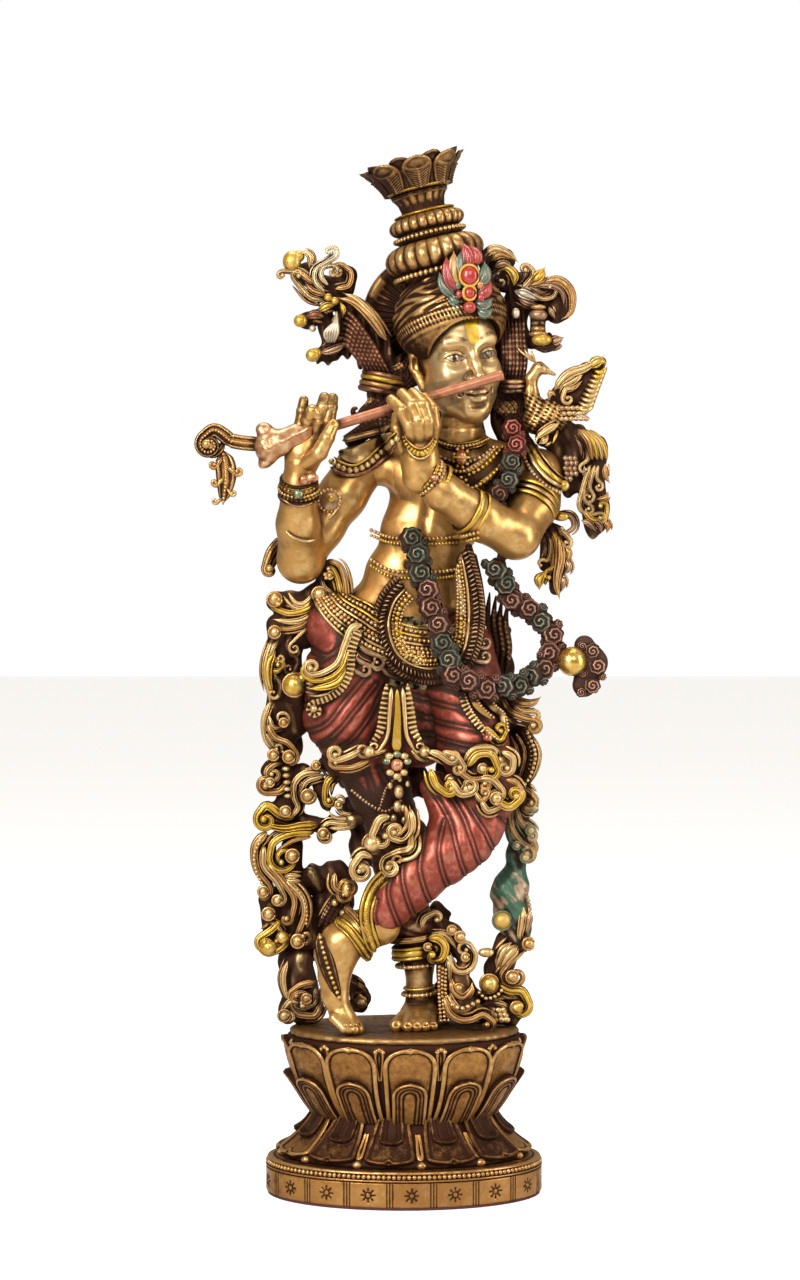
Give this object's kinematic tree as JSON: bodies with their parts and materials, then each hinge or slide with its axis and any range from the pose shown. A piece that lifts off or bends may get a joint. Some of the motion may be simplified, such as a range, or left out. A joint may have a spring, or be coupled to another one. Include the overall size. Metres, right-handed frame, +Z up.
{
  "type": "hindu deity statue",
  "caption": "Standing flute-playing deity in a three-bend pose with crossed leg, tall crown, garland and scroll scarves, on a double lotus pedestal over an oval plinth.",
  "frame": {"origin": "middle of the felt pad's underside, on the surface that the statue stands on", "axes": "+Z up to the crown, -Y the way the statue faces, +X to the viewer's right"},
  "size_m": [0.2359, 0.1153, 0.6109],
  "materials": {
    "felt": "matt felt",
    "antique_gold": "aged gold with brown wash in the recesses",
    "dark_gold": "dark brown wash over gold",
    "steel": "bright steel",
    "skin_gold": "satin pale gold",
    "red_cloth": "satin red enamel with dark lines",
    "ornament_gold": "antique gold, rubbed bright on the high edges",
    "green_enamel": "rubbed green enamel over brass",
    "flute_copper": "satin copper brown",
    "rose_garland": "rose and green enamel, rubbed",
    "bright_gold": "polished gold",
    "jewel_red": "gloss red enamel"
  },
  "bodies": {
    "root": {"felt_pad": "felt", "plinth": "antique_gold", "bead_band": "antique_gold", "lotus_lower": "antique_gold", "lotus_upper": "antique_gold", "deck": "dark_gold", "tie_rod": "steel", "tie_washer": "steel", "tie_nut": "steel", "dowels": "steel", "standing_leg": "dark_gold", "standing_foot": "skin_gold", "crossed_leg": "red_cloth", "crossed_foot": "skin_gold", "leg_cuffs": "ornament_gold", "hips": "dark_gold", "thigh_cloth": "red_cloth", "waist_belt": "ornament_gold", "front_sash": "ornament_gold", "back_drape": "dark_gold", "hip_knot_left": "ornament_gold", "apron_left": "ornament_gold", "apron_right": "ornament_gold", "fringe_right": "ornament_gold", "scarf_left_upper": "ornament_gold", "scarf_left_middle": "ornament_gold", "scarf_left_lower": "ornament_gold", "scarf_left_foot": "dark_gold", "scarf_right_upper": "ornament_gold", "scarf_right_column": "green_enamel", "scarf_right_lower": "ornament_gold", "scarf_foot_middle": "ornament_gold", "torso": "skin_gold", "necklaces": "ornament_gold", "shoulder_wrap": "ornament_gold", "sash_loop": "ornament_gold", "right_arm": "skin_gold", "right_hand": "skin_gold", "left_arm": "skin_gold", "left_hand": "skin_gold", "bangles": "ornament_gold", "elbow_scarf": "ornament_gold", "flute": "flute_copper", "flute_finial": "ornament_gold", "garland_chest": "rose_garland", "garland_front": "rose_garland", "garland_loop": "rose_garland", "garland_ball": "bright_gold", "garland_rosette": "rose_garland", "head": "skin_gold", "hair_locks": "dark_gold", "hair_wing_left": "dark_gold", "hair_wing_right": "dark_gold", "halo": "dark_gold", "crown_helmet": "ornament_gold", "crown_tiers": "ornament_gold", "crown_flare": "dark_gold", "crown_jewel": "jewel_red", "peacock": "ornament_gold", "peacock_tail": "dark_gold"}
  },
  "joints": []
}
